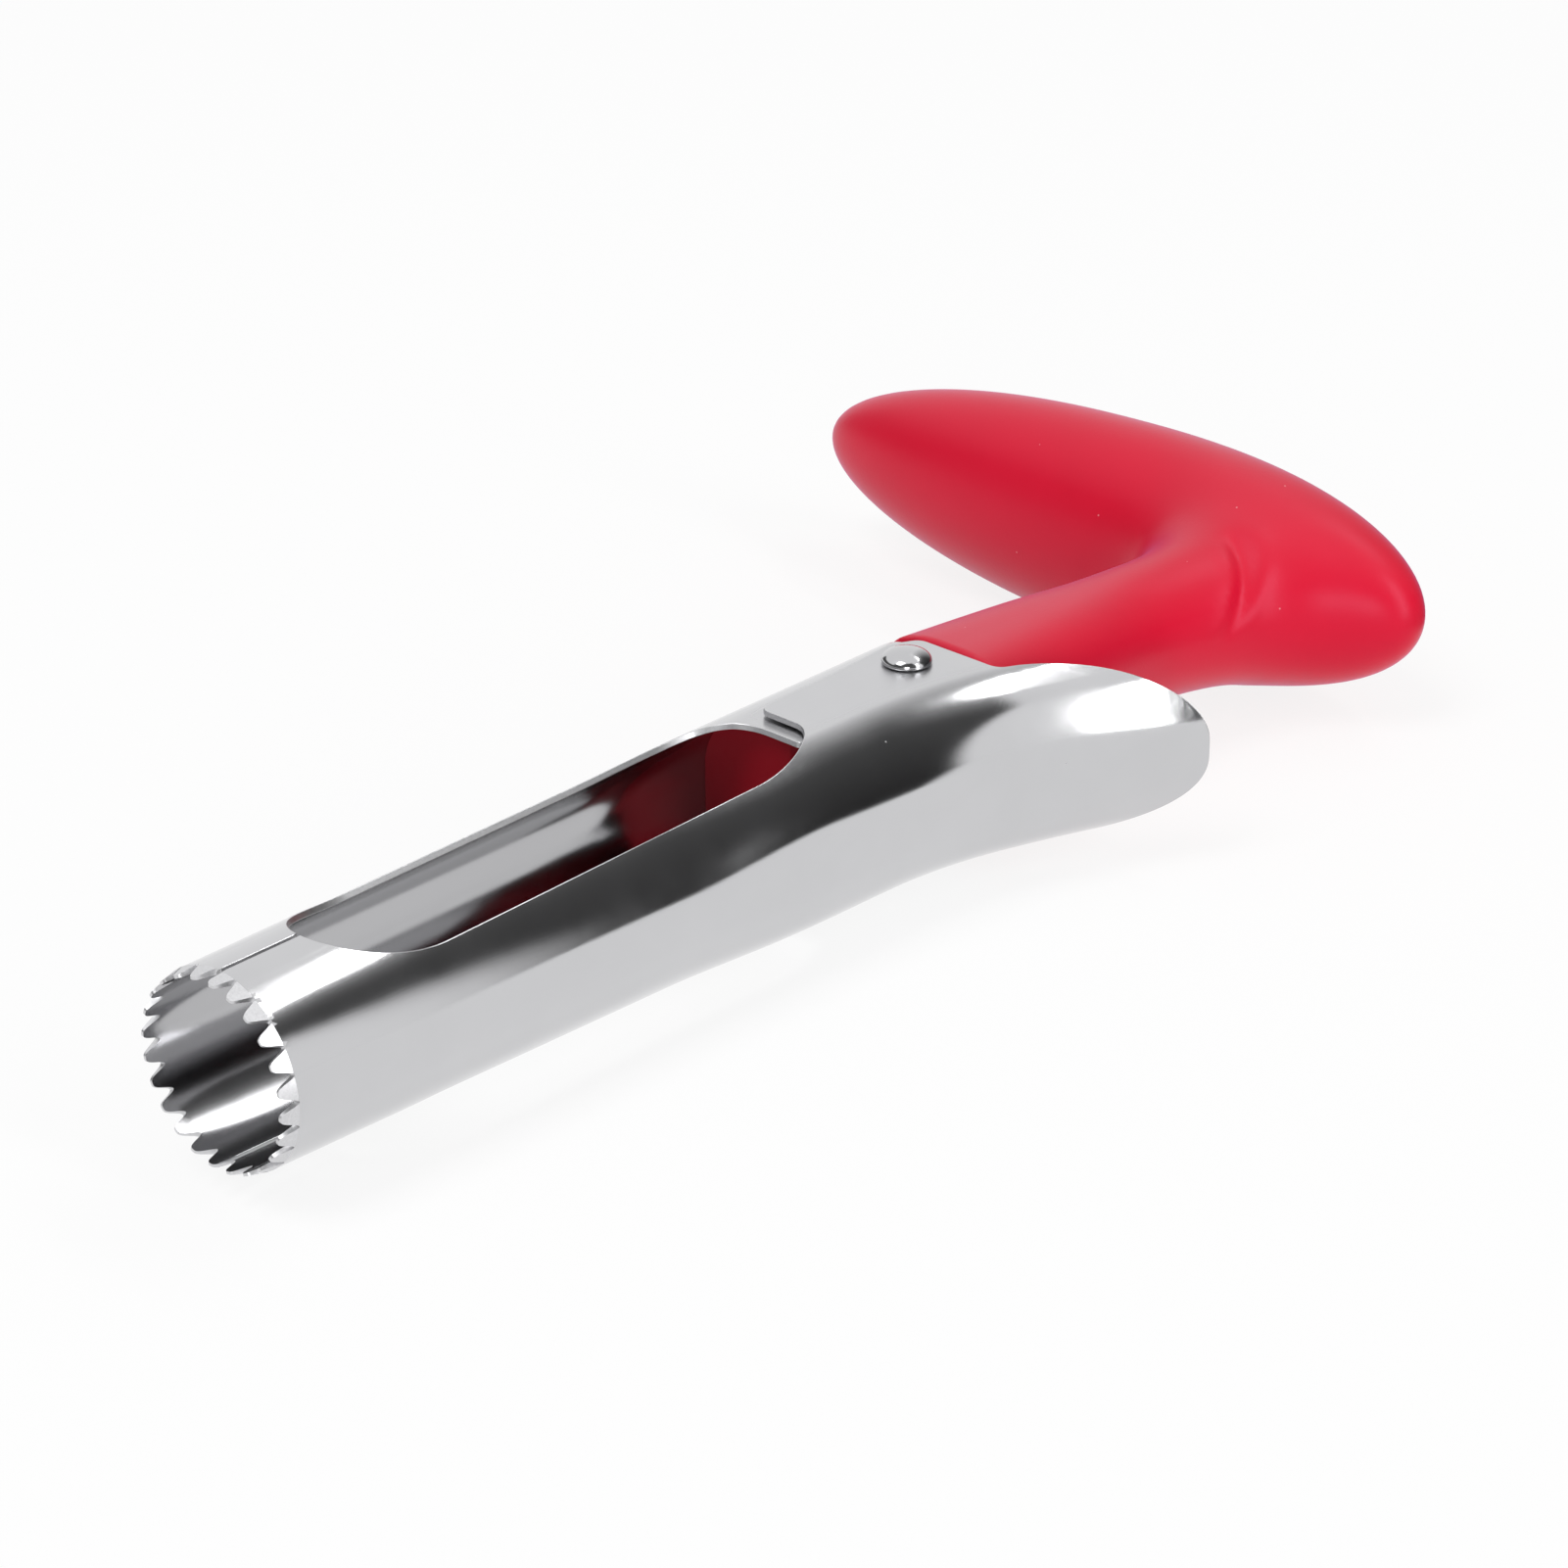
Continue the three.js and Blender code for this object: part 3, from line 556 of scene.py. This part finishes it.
gloss = add(tree, "ShaderNodeMapRange", {"To Min": 0.06, "To Max": 0.15}, {"Value": haze.outputs["Fac"]})
spot = add(tree, "ShaderNodeSeparateXYZ", links={"Vector": place})
ears_begin = {"From Min": tooth_plane.y + 0.08, "From Max": tooth_plane.y + 0.092}
behind = add(tree, "ShaderNodeMapRange", ears_begin, {"Value": spot.outputs["Y"]})
normal = add(tree, "ShaderNodeNewGeometry").outputs["Normal"]
facing = add(tree, "ShaderNodeSeparateXYZ", links={"Vector": normal})
upright = add(tree, "ShaderNodeMath", links={0: facing.outputs["Z"]}, operation="ABSOLUTE")
high = add(tree, "ShaderNodeMapRange", {"From Min": 0.975, "From Max": 0.998}, {"Value": upright.outputs[0]})
flat_ears = add(tree, "ShaderNodeMath", links={0: behind.outputs["Result"], 1: high.outputs["Result"]},
                operation="MULTIPLY")
satin = add(tree, "ShaderNodeMath", {1: 0.22}, {0: flat_ears.outputs[0], 2: gloss.outputs["Result"]},
            operation="MULTIPLY_ADD")
dull = add(tree, "ShaderNodeMath", {1: 0.5}, {0: speck.outputs[0], 2: satin.outputs[0]},
           operation="MULTIPLY_ADD")
sheet_waves = add(tree, "ShaderNodeTexNoise", {"Scale": 80, "Detail": 1}, {"Vector": place})  # waves of 12 mm
wavy = add(tree, "ShaderNodeBump", {"Strength": 1, "Distance": 0.00003},
           {"Height": sheet_waves.outputs["Fac"]})
polish = add(tree, "ShaderNodeBump", {"Strength": 0.07, "Distance": 0.00003},
             {"Height": scratch.outputs["Fac"], "Normal": wavy.outputs["Normal"]})
tree.links.new(tint.outputs["Result"], shader.inputs["Base Color"])
tree.links.new(dull.outputs[0], shader.inputs["Roughness"])
tree.links.new(polish.outputs["Normal"], shader.inputs["Normal"])

# Ground steel edges: the cut faces of the sheet and the teeth's bevels, pale and finely grained.
ground_steel, tree, shader = new_material("ground_steel_edge")
shader.inputs["Metallic"].default_value = 1
place = add(tree, "ShaderNodeTexCoord").outputs["Object"]
grit = add(tree, "ShaderNodeTexNoise", {"Scale": 4000, "Detail": 2}, {"Vector": place})  # grain of 0.25 mm
tint = add(tree, "ShaderNodeMix", links={"Factor": grit.outputs["Fac"]}, data_type="RGBA")
tint.inputs["A"].default_value = linear("C4C4C6")
tint.inputs["B"].default_value = linear("E2E2E4")
gloss = add(tree, "ShaderNodeMapRange", {"To Min": 0.28, "To Max": 0.46}, {"Value": grit.outputs["Fac"]})
tree.links.new(tint.outputs["Result"], shader.inputs["Base Color"])
tree.links.new(gloss.outputs["Result"], shader.inputs["Roughness"])

# Rolled stainless sheet: the inside of the barrel keeps the mill's cloudy lustre, and its grey is darker than
# the outside's as painted shade inside the barrel.
rolled_steel, tree, shader = new_material("rolled_stainless_inside")
shader.inputs["Metallic"].default_value = 1
shader.inputs["Base Color"].default_value = linear("B6B6B8")
place = add(tree, "ShaderNodeTexCoord").outputs["Object"]
haze = add(tree, "ShaderNodeTexNoise", {"Scale": 150, "Detail": 4}, {"Vector": place})  # patches of 7 mm
gloss = add(tree, "ShaderNodeMapRange", {"To Min": 0.1, "To Max": 0.17}, {"Value": haze.outputs["Fac"]})
tree.links.new(gloss.outputs["Result"], shader.inputs["Roughness"])

fixed_ear_front, fixed_ear_reach = 87.5, 5.26
plan = [(seam_gap / 2, 3, 0), *window_rim(fixed_ear_front, 5.5),
        (-fixed_ear_reach, fixed_ear_front, 1.2), (-fixed_ear_reach, ear_rear, 1.0), (4, ear_rear, 0)]
plan = softened(plan)
edge = np.stack([share(plan[:, 0], plan[:, 1], fixed_face, False), plan[:, 1]], 1)
edge = np.concatenate([edge, np.stack([np.linspace(edge[-1, 0], 1, 20)[1:], np.full(19, ear_rear)], 1)])
fixed = show("shell_fixed", half_shell("shell_fixed", -1, fixed_face, False, edge), stainless)
deburred(fixed)
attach(fixed, "handle")
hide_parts("fixed_shell")

# Moving jaw: the other half of the barrel, from the same polished sheet. Its ears lie over the fixed
# shell's and turn on the rivet, and its rear flares out and is cut on a slant to make the thumb lever.
jaw_ear_front, jaw_ear_reach, jaw_ear_front_reach = 89.7, 5.3, 4.0
lever_length, lever_root, lever_slant, lever_bow = 23.0, 8.7, 0.9, 2.95


def lever_edge(y):
    """How far to the side the lever's slanting rear edge lies."""
    u = (y - ear_rear) / lever_length
    return lever_root + lever_slant * lever_length * u - 4 * lever_bow * u * (1 - u)


plan = [(seam_gap / 2, 3, 0), *window_rim(jaw_ear_front, 1.6),
        (-jaw_ear_front_reach, jaw_ear_front, 1.8), (-jaw_ear_reach, ear_rear - 3.5, 1.2),
        (-jaw_ear_reach + 1.75, ear_rear, 1.2), (lever_root, ear_rear, 1.6),
        (lever_edge(ear_rear + 3), ear_rear + 3, 0)]
plan = softened(plan)
edge = np.stack([share(plan[:, 0], plan[:, 1], jaw_face, True), plan[:, 1]], 1)
turns = np.linspace(edge[-1, 0], 1, 60)[1:]
low, high = np.full(59, ear_rear), np.full(59, ear_rear + 60)
for _ in range(40):
    middle = (low + high) / 2
    outside = pressed(turns, middle, 0, 1, jaw_face, True)[:, 0] > lever_edge(middle)
    low, high = np.where(outside, middle, low), np.where(outside, high, middle)
edge = np.concatenate([edge, np.stack([turns, middle], 1)])
jaw = show("shell_jaw", half_shell("shell_jaw", 1, jaw_face, True, edge), stainless)
deburred(jaw)
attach(jaw, "jaw")
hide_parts("moving_jaw")

# Rivet: two turned steel halves pressed together through the ears and the core. The heads are low polished
# domes with a short upright edge, one on each face, and the shank between them carries the jaw.
shank_radius, head_radius, head_height, head_edge = 2.0, 3.15, 1.75, 0.25
seat = jaw_face + 0.15
facets = 64
profile = [(0, -seat), (shank_radius, -seat), (shank_radius, 0), (head_radius - 0.12, 0), (head_radius, 0.12),
           (head_radius, head_edge)]
for angle in np.linspace(0, math.pi / 2, 16)[1:-1]:
    profile.append((head_radius * math.cos(angle), head_edge + (head_height - head_edge) * math.sin(angle)))
work = bmesh.new()
rows = [[work.verts.new((r * math.cos(a) / 1000, r * math.sin(a) / 1000, z / 1000))
         for a in np.linspace(0, 2 * math.pi, facets, endpoint=False)] for r, z in profile[1:]]
for near_row, far_row in zip(rows, rows[1:]):
    for k in range(facets):
        m = (k + 1) % facets
        work.faces.new((near_row[k], near_row[m], far_row[m], far_row[k]))
work.faces.new(rows[0][::-1])
work.faces.new(rows[-1])
head_mesh = bpy.data.meshes.new("rivet half")
work.to_mesh(head_mesh)
work.free()
head_mesh.shade_smooth()
head_mesh.set_sharp_from_angle(angle=math.radians(50))

# Turned steel, polished: a grey metal with a slightly cloudy gloss.
turned_steel, tree, shader = new_material("turned_polished_steel")
shader.inputs["Metallic"].default_value = 1
shader.inputs["Base Color"].default_value = linear("C4C4C6")
place = add(tree, "ShaderNodeTexCoord").outputs["Object"]
haze = add(tree, "ShaderNodeTexNoise", {"Scale": 700, "Detail": 3}, {"Vector": place})  # patches of 1.4 mm
gloss = add(tree, "ShaderNodeMapRange", {"To Min": 0.08, "To Max": 0.2}, {"Value": haze.outputs["Fac"]})
tree.links.new(gloss.outputs["Result"], shader.inputs["Roughness"])

pair = bpy.data.node_groups.new("rivet pair", "GeometryNodeTree")
pair.interface.new_socket("Half", in_out="INPUT", socket_type="NodeSocketGeometry")
seat_socket = pair.interface.new_socket("Seat height", in_out="INPUT", socket_type="NodeSocketFloat")
pair.interface.new_socket("Rivet", in_out="OUTPUT", socket_type="NodeSocketGeometry")
given = add(pair, "NodeGroupInput")
upper_seat = add(pair, "ShaderNodeCombineXYZ", links={"Z": given.outputs["Seat height"]})
span = add(pair, "ShaderNodeVectorMath", {1: (-2, -2, -2)}, {0: upper_seat.outputs[0]}, operation="MULTIPLY")
seats = add(pair, "GeometryNodeMeshLine", {"Count": 2},
            {"Start Location": upper_seat.outputs[0], "Offset": span.outputs[0]})
index = add(pair, "GeometryNodeInputIndex")
half_turn = add(pair, "ShaderNodeMath", {1: math.pi}, {0: index.outputs[0]}, operation="MULTIPLY")
over = add(pair, "ShaderNodeCombineXYZ", links={"X": half_turn.outputs[0]})
halves = add(pair, "GeometryNodeInstanceOnPoints", links={
    "Points": seats.outputs["Mesh"], "Instance": given.outputs["Half"], "Rotation": over.outputs[0]})
real = add(pair, "GeometryNodeRealizeInstances", links={"Geometry": halves.outputs["Instances"]})
coat = add(pair, "GeometryNodeSetMaterial", {"Material": turned_steel},
           {"Geometry": real.outputs["Geometry"]})
add(pair, "NodeGroupOutput", links={"Rivet": coat.outputs["Geometry"]})
half_piece = bpy.data.objects.new("rivet half", head_mesh)
bpy.context.scene.collection.objects.link(half_piece)
paired = half_piece.modifiers.new("pair", "NODES")
paired.node_group = pair
paired[seat_socket.identifier] = seat / 1000
rivet_mesh = settled(half_piece)
bpy.data.objects.remove(half_piece)
rivet_mesh.transform(Matrix.Translation(hinge))
rivet = show("rivet_heads", rivet_mesh, turned_steel)
rivet_mesh.set_sharp_from_angle(angle=math.radians(50))
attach(rivet, "handle")
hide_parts("rivet_post", "rivet_pin")

# Studio: a white paper sweep in a light room, with three softboxes round the camera and a strip light behind.
# Dark cards stand for the unlit walls of the room and draw the dark bands along the polished steel. They
# are seen in reflections only.
white_paper, tree, shader = new_material("white_paper_sweep")
tree.nodes.clear()
matte = add(tree, "ShaderNodeBsdfDiffuse", {"Color": linear("F2F2F2")})
glow = add(tree, "ShaderNodeEmission", {"Color": (1, 1, 1, 1), "Strength": 1})


def seen_directly(tree):
    """1 for camera, mirror and glass rays, and 0 for rays that only carry light."""
    rays = add(tree, "ShaderNodeLightPath")
    seen = rays.outputs["Is Camera Ray"]
    for other in ("Is Glossy Ray", "Is Transmission Ray"):
        both = add(tree, "ShaderNodeMath", links={0: seen, 1: rays.outputs[other]}, operation="MAXIMUM")
        seen = both.outputs[0]
    return seen


lift = add(tree, "ShaderNodeMath", {1: 0.85}, {0: seen_directly(tree)}, operation="MULTIPLY")
paper = add(tree, "ShaderNodeMixShader", links={0: lift.outputs[0], 1: matte.outputs[0], 2: glow.outputs[0]})
add(tree, "ShaderNodeOutputMaterial", links={"Surface": paper.outputs[0]})
work = bmesh.new()
bmesh.ops.create_grid(work, x_segments=1, y_segments=1, size=5)
floor_mesh = bpy.data.meshes.new("floor")
work.to_mesh(floor_mesh)
work.free()
floor = show("floor", floor_mesh, white_paper)
floor.location.z = -0.0005

world = bpy.data.worlds.new("white room")
bpy.context.scene.world = world
world.use_nodes = True
tree = world.node_tree
tree.nodes.clear()
level = add(tree, "ShaderNodeMapRange", {"To Min": 0.45, "To Max": 1.0}, {"Value": seen_directly(tree)})
room = add(tree, "ShaderNodeBackground", {"Color": (1, 1, 1, 1)}, {"Strength": level.outputs["Result"]})
add(tree, "ShaderNodeOutputWorld", links={"Surface": room.outputs[0]})

middle_of_part = Vector((0, 0, 0.015))


def lamp(name, azimuth, elevation, width, height, power, lean=0):
    """A soft box 2.5 m away that faces the part. Azimuth 0 is along +X and 90 along +Y."""
    light = bpy.data.lights.new(name, "AREA")
    light.shape = "RECTANGLE"
    light.size, light.size_y = width, height
    light.energy = power
    source = bpy.data.objects.new(name, light)
    bpy.context.scene.collection.objects.link(source)
    a, e = math.radians(azimuth), math.radians(elevation)
    away = Vector((math.cos(a) * math.cos(e), math.sin(a) * math.cos(e), math.sin(e)))
    source.location = middle_of_part + 2.5 * away
    source.rotation_euler = away.to_track_quat("Z", "Y").to_euler()
    source.rotation_euler.rotate_axis("Z", math.radians(lean))


lamp("front softbox", -93, 60, 0.9, 1.3, 25)
lamp("camera softbox", -46, 13, 0.7, 0.7, 12)
lamp("right softbox", 5.4, 25, 0.31, 2.4, 21, lean=-11.5)
lamp("rear strip light", 76, 57.5, 1.5, 0.21, 6.2)


def card(name, first, last, profile, finish):
    """A card bent round the part between two azimuths. Its profile is a list of distances and heights."""
    work = bmesh.new()
    rows = []
    for azimuth in np.radians(np.linspace(first, last, 25)):
        out = Vector((math.cos(azimuth), math.sin(azimuth), 0))
        rows.append([work.verts.new(out * distance + Vector((0, 0, height))) for distance, height in profile])
    for near_row, far_row in zip(rows, rows[1:]):
        for k in range(len(profile) - 1):
            work.faces.new((near_row[k], far_row[k], far_row[k + 1], near_row[k + 1]))
    mesh = bpy.data.meshes.new(name)
    work.to_mesh(mesh)
    work.free()
    screen = show(name, mesh, finish)
    screen.visible_camera = False
    screen.visible_shadow = False
    screen.visible_diffuse = False


# The right card is a wall that brightens upwards and towards the rear, and its near edge is soft.
right_wall, tree, shader = new_material("unlit_right_wall")
tree.nodes.clear()
place = add(tree, "ShaderNodeTexCoord").outputs["Object"]
spot = add(tree, "ShaderNodeSeparateXYZ", links={"Vector": place})
turn = add(tree, "ShaderNodeMath", links={0: spot.outputs["Y"], 1: spot.outputs["X"]}, operation="ARCTAN2")
turn = turn.outputs[0]
dim = add(tree, "ShaderNodeMapRange", {"From Max": 0.88, "To Min": 0.03, "To Max": 0.11},
          {"Value": spot.outputs["Z"]})
top = add(tree, "ShaderNodeMapRange", {"From Min": 0.51, "From Max": 0.88}, {"Value": spot.outputs["Z"]})
high = add(tree, "ShaderNodeMath", {1: 2.5}, {0: top.outputs["Result"]}, operation="POWER")
dim = add(tree, "ShaderNodeMath", {1: 0.5}, {0: high.outputs[0], 2: dim.outputs["Result"]},
          operation="MULTIPLY_ADD")
rear = add(tree, "ShaderNodeMapRange", {"From Min": math.radians(75), "From Max": math.radians(120)},
           {"Value": turn})
rear = add(tree, "ShaderNodeMath", {1: 2}, {0: rear.outputs["Result"]}, operation="POWER")
dim = add(tree, "ShaderNodeMath", links={0: dim.outputs[0], 1: rear.outputs[0]}, operation="ADD")
slant = add(tree, "ShaderNodeMath", {1: 1.5}, {0: top.outputs["Result"]}, operation="POWER")
slant = add(tree, "ShaderNodeMath", {1: -math.radians(29)}, {0: slant.outputs[0], 2: turn},
            operation="MULTIPLY_ADD")
edge = add(tree, "ShaderNodeMapRange", {"From Min": math.radians(25.3), "From Max": math.radians(30.3)},
           {"Value": slant.outputs[0]}, interpolation_type="SMOOTHSTEP")
dim = add(tree, "ShaderNodeMix", {"A": 1}, {"Factor": edge.outputs["Result"], "B": dim.outputs[0]})
dim = add(tree, "ShaderNodeEmission", {"Color": (1, 1, 1, 1)}, {"Strength": dim.outputs["Result"]})
add(tree, "ShaderNodeOutputMaterial", links={"Surface": dim.outputs[0]})
card("right wall", 25, 120, [(0.13, 0.0003), (0.57, 0.0003), (0.57, 0.86)], right_wall)

# The front card is tall and the left one low, and both are evenly dark.
front_wall, tree, shader = new_material("unlit_front_wall")
tree.nodes.clear()
dim = add(tree, "ShaderNodeEmission", {"Color": (1, 1, 1, 1), "Strength": 0.1})
add(tree, "ShaderNodeOutputMaterial", links={"Surface": dim.outputs[0]})
card("front wall", -112, -4, [(4, 0.0003), (4, 9.9)], front_wall)
card("left wall", -190, -112, [(4, 0.0003), (4, 1.9)], front_wall)

# Camera at the photograph's angle, found by fitting the barrel's rim and the outlines of the handle.
azimuth, elevation = math.radians(43.3), math.radians(25.44)
focal, distance = 4500.0, 0.5397  # in pixels of the photograph, and in metres
frame_width, sensor_width = 1601, 36  # in pixels, and in mm
level = math.cos(elevation)
back = Vector((math.sin(azimuth) * level, -math.cos(azimuth) * level, math.sin(elevation)))
right = Vector((math.cos(azimuth), math.sin(azimuth), 0))
up = back.cross(right)
aim = tooth_plane + Vector((0, 0.1, 0))
shift_right, shift_up = 57.2, 1.5  # pixels from the frame's middle
camera_data = bpy.data.cameras.new("camera")
camera_data.sensor_width = sensor_width
camera_data.lens = focal / frame_width * sensor_width
camera_data.clip_start = 0.01
camera = bpy.data.objects.new("camera", camera_data)
bpy.context.scene.collection.objects.link(camera)
camera.location = aim + back * distance - (right * shift_right - up * shift_up) * distance / focal
camera.rotation_euler = back.to_track_quat("Z", "Y").to_euler()
bpy.context.scene.camera = camera
bpy.context.scene.view_settings.view_transform = "Standard"
